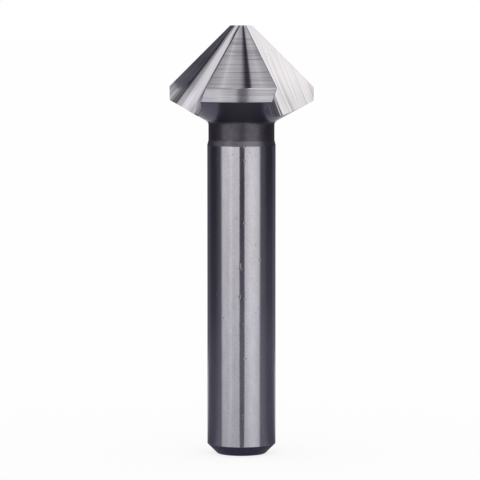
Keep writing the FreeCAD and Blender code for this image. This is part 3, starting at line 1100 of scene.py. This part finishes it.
def tent_color(glow, azimuth, elevation):
    """Colour of each point: its brightness times one plus a tint where it is dark or cool."""
    shadow = soft(*SHADOW_EDGE, glow)
    cool = soft(*COOL_EDGE, azimuth) * soft(*COOL_FROM, elevation) * soft(*COOL_TO, elevation)
    tint = 1 + shadow[..., None] * SHADOW_TINT + cool[..., None] * COOL_TINT
    return glow[..., None] * tint


def light_tent():
    """A ball about a point high on the shank, each ray from it cut short where it meets the floor.

    A point is the ray's reach times cosine of elevation times sine, or less cosine, of azimuth, and
    the centre's height plus reach times sine of elevation.
    """
    azimuth, elevation = np.meshgrid(np.radians(AZIMUTHS), np.radians(ELEVATIONS))
    floor_reach = (TENT_CENTRE - TENT_LIFT) / np.sin(np.maximum(-elevation, LEVEL_SLOPE))
    reach = np.minimum(TENT_RADIUS, floor_reach)
    x = reach * np.cos(elevation) * np.sin(azimuth)
    y = -reach * np.cos(elevation) * np.cos(azimuth)
    z = TENT_CENTRE + reach * np.sin(elevation)
    azimuth, elevation = np.degrees(azimuth), np.degrees(elevation)
    glow = tent_glow(x, y, z, azimuth, elevation)
    color = tent_color(glow, azimuth, elevation)
    mesh = bpy.data.meshes.new("light_tent")
    mesh.from_pydata(np.stack([x, y, z], axis=2).reshape(-1, 3) * MM, [], quads(*x.shape))
    shown = mesh.color_attributes.new("glow", "FLOAT_COLOR", "POINT")
    shown.data.foreach_set("color", color.astype(np.float32).ravel())
    material, start = new_material("tent_light")
    seen = start.node("Attribute", {"attribute_name": "glow"})
    shader = start.node("Emission", (), {"Color": seen, "Strength": 1.0})
    start.node("OutputMaterial", (), {"Surface": shader})
    mesh.materials.append(material)
    print(f"tent of {len(mesh.vertices)} points, brightness {glow.min():.3f} to {glow.max():.2f}")
    return add_object("light_tent", mesh)


tent = light_tent()
tent.visible_camera = tent.visible_diffuse = tent.visible_shadow = False

# %% [markdown]
# ## Floor and world
#
# The floor is pale, and it is white to the camera and to reflections, as a lit backdrop is. A fifth
# of it is an ordinary diffuse white, which is what keeps the shadow under the bit.

# %% Floor and world
FLOOR_HALF = 6.0
GLOWING_SHARE = 0.8
PAPER, WHITE = (0.95, 0.95, 0.95, 1), (1, 1, 1, 1)


def paper_floor():
    """A flat square whose material is mostly white light, for the rays that look at it."""
    corner = np.array([[-1, -1, 0], [1, -1, 0], [1, 1, 0], [-1, 1, 0]]) * FLOOR_HALF
    mesh = bpy.data.meshes.new("paper_floor")
    mesh.from_pydata(corner, [], [(0, 1, 2, 3)])
    material, start = new_material("white_paper")
    camera_ray, glossy_ray, through_ray = (
        start.node("LightPath", output=name)
        for name in ("Is Camera Ray", "Is Glossy Ray", "Is Transmission Ray"))
    looking = start.math("MAXIMUM", camera_ray, start.math("MAXIMUM", glossy_ray, through_ray))
    paper = start.node("BsdfDiffuse", (), {"Color": PAPER})
    white = start.node("Emission", (), {"Color": WHITE, "Strength": 1.0})
    mix = start.node("MixShader", (), {0: looking * GLOWING_SHARE, 1: paper, 2: white})
    start.node("OutputMaterial", (), {"Surface": mix})
    mesh.materials.append(material)
    return add_object("paper_floor", mesh)


paper_floor()
world = bpy.data.worlds.new("white_room")
world.use_nodes = True
background = world.node_tree.nodes["Background"].inputs
background["Color"].default_value = WHITE
background["Strength"].default_value = 1.0
bpy.context.scene.world = world
print(f"floor of {2 * FLOOR_HALF:.0f} metres, {GLOWING_SHARE:.0%} of it white light")

# %% [markdown]
# ## Camera
#
# The camera looks at the bit from the front and a little above, from close by, so that the head
# looks a little larger than the foot.

# %% Camera
CAMERA_PLACE = Vector((0, -0.425, 0.06445))
CAMERA_AIM = Vector((-0.000211, 0, 0.03126))
LENS, SENSOR_WIDTH = 219.1, 36.0

camera_data = bpy.data.cameras.new("camera")
camera_data.lens = LENS
camera_data.sensor_width = SENSOR_WIDTH
camera = add_object("camera", camera_data)
camera.location = CAMERA_PLACE
camera.rotation_euler = (CAMERA_AIM - CAMERA_PLACE).to_track_quat("-Z", "Y").to_euler()
bpy.context.scene.camera = camera
bpy.context.scene.view_settings.view_transform = "Standard"
print(f"camera {(CAMERA_AIM - CAMERA_PLACE).length:.3f} m from the bit")
